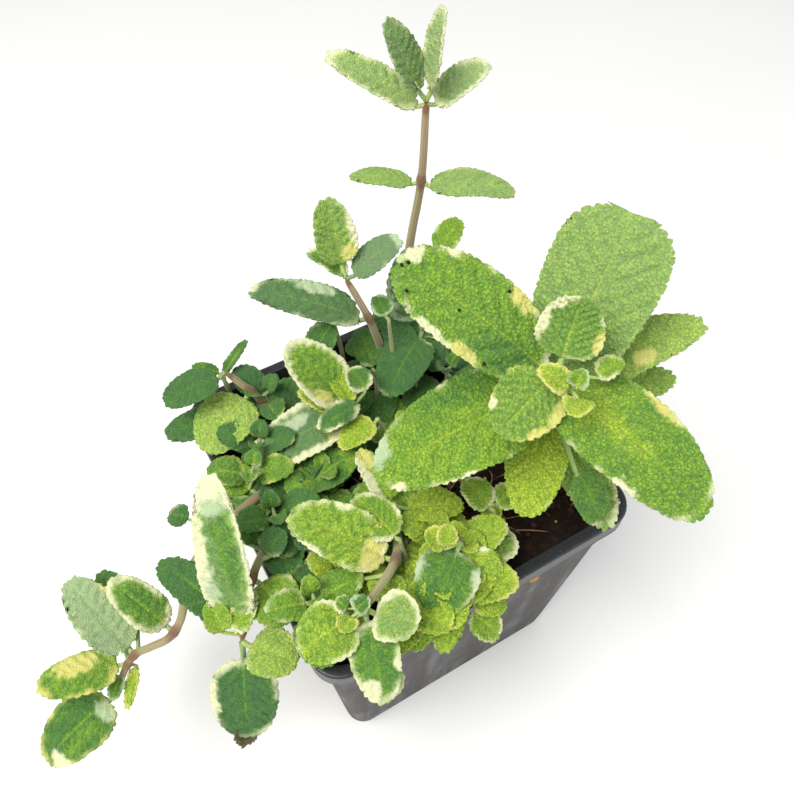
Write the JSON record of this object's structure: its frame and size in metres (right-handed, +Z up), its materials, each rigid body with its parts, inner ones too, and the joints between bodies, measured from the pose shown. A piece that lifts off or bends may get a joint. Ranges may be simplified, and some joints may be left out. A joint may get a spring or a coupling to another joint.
{
  "type": "potted mint plant",
  "caption": "Young variegated mint in a square plastic nursery pot, with leafy shoots that rise above the rim and trail over its left side.",
  "frame": {"origin": "middle of the pot's underside, on the surface it stands on", "axes": "+Z up along the pot's middle; X and Y square to the pot's sides"},
  "size_m": [0.1775, 0.126, 0.1833],
  "materials": {
    "pot": "moulded black plastic, satin on the rim and dusty on the walls",
    "soil": "damp dark potting mix with bark fibres",
    "stem": "downy green-tan stem, reddish at the nodes",
    "leaf": "downy blistered green leaf with cream margins"
  },
  "bodies": {
    "root": {"pot": "pot", "soil": "soil", "front_right_stem": "stem", "front_right_leaf_1": "leaf", "front_right_leaf_2": "leaf", "front_right_leaf_3": "leaf", "front_right_leaf_4": "leaf", "front_right_leaf_5": "leaf", "front_right_leaf_6": "leaf", "front_right_leaf_7": "leaf", "front_right_leaf_8": "leaf", "front_right_leaf_9": "leaf", "front_right_leaf_10": "leaf", "tall_back_stem": "stem", "tall_back_leaf_1": "leaf", "tall_back_leaf_2": "leaf", "tall_back_leaf_3": "leaf", "tall_back_leaf_4": "leaf", "tall_back_leaf_5": "leaf", "tall_back_leaf_6": "leaf", "left_back_stem": "stem", "left_back_leaf_1": "leaf", "left_back_leaf_2": "leaf", "left_back_leaf_3": "leaf", "middle_back_stem": "stem", "middle_back_leaf_1": "leaf", "middle_back_leaf_2": "leaf", "left_middle_stem": "stem", "left_middle_leaf_1": "leaf", "left_middle_leaf_2": "leaf", "left_middle_leaf_3": "leaf", "left_edge_stem": "stem", "left_edge_leaf_1": "leaf", "left_edge_leaf_2": "leaf", "left_edge_leaf_3": "leaf", "left_edge_leaf_4": "leaf", "left_edge_leaf_5": "leaf", "trailing_stem": "stem", "trailing_leaf_1": "leaf", "trailing_leaf_2": "leaf", "trailing_leaf_3": "leaf", "trailing_leaf_4": "leaf", "front_stem": "stem", "front_leaf_1": "leaf", "front_leaf_2": "leaf", "front_leaf_3": "leaf", "front_leaf_4": "leaf", "centre_stem": "stem", "centre_leaf_1": "leaf", "centre_leaf_2": "leaf", "front_low_stem": "stem", "front_low_leaf_1": "leaf", "front_low_leaf_2": "leaf", "front_low_leaf_3": "leaf", "front_low_leaf_4": "leaf", "left_corner_stem": "stem", "left_corner_leaf_1": "leaf", "left_corner_leaf_2": "leaf", "left_corner_leaf_3": "leaf"}
  },
  "joints": []
}
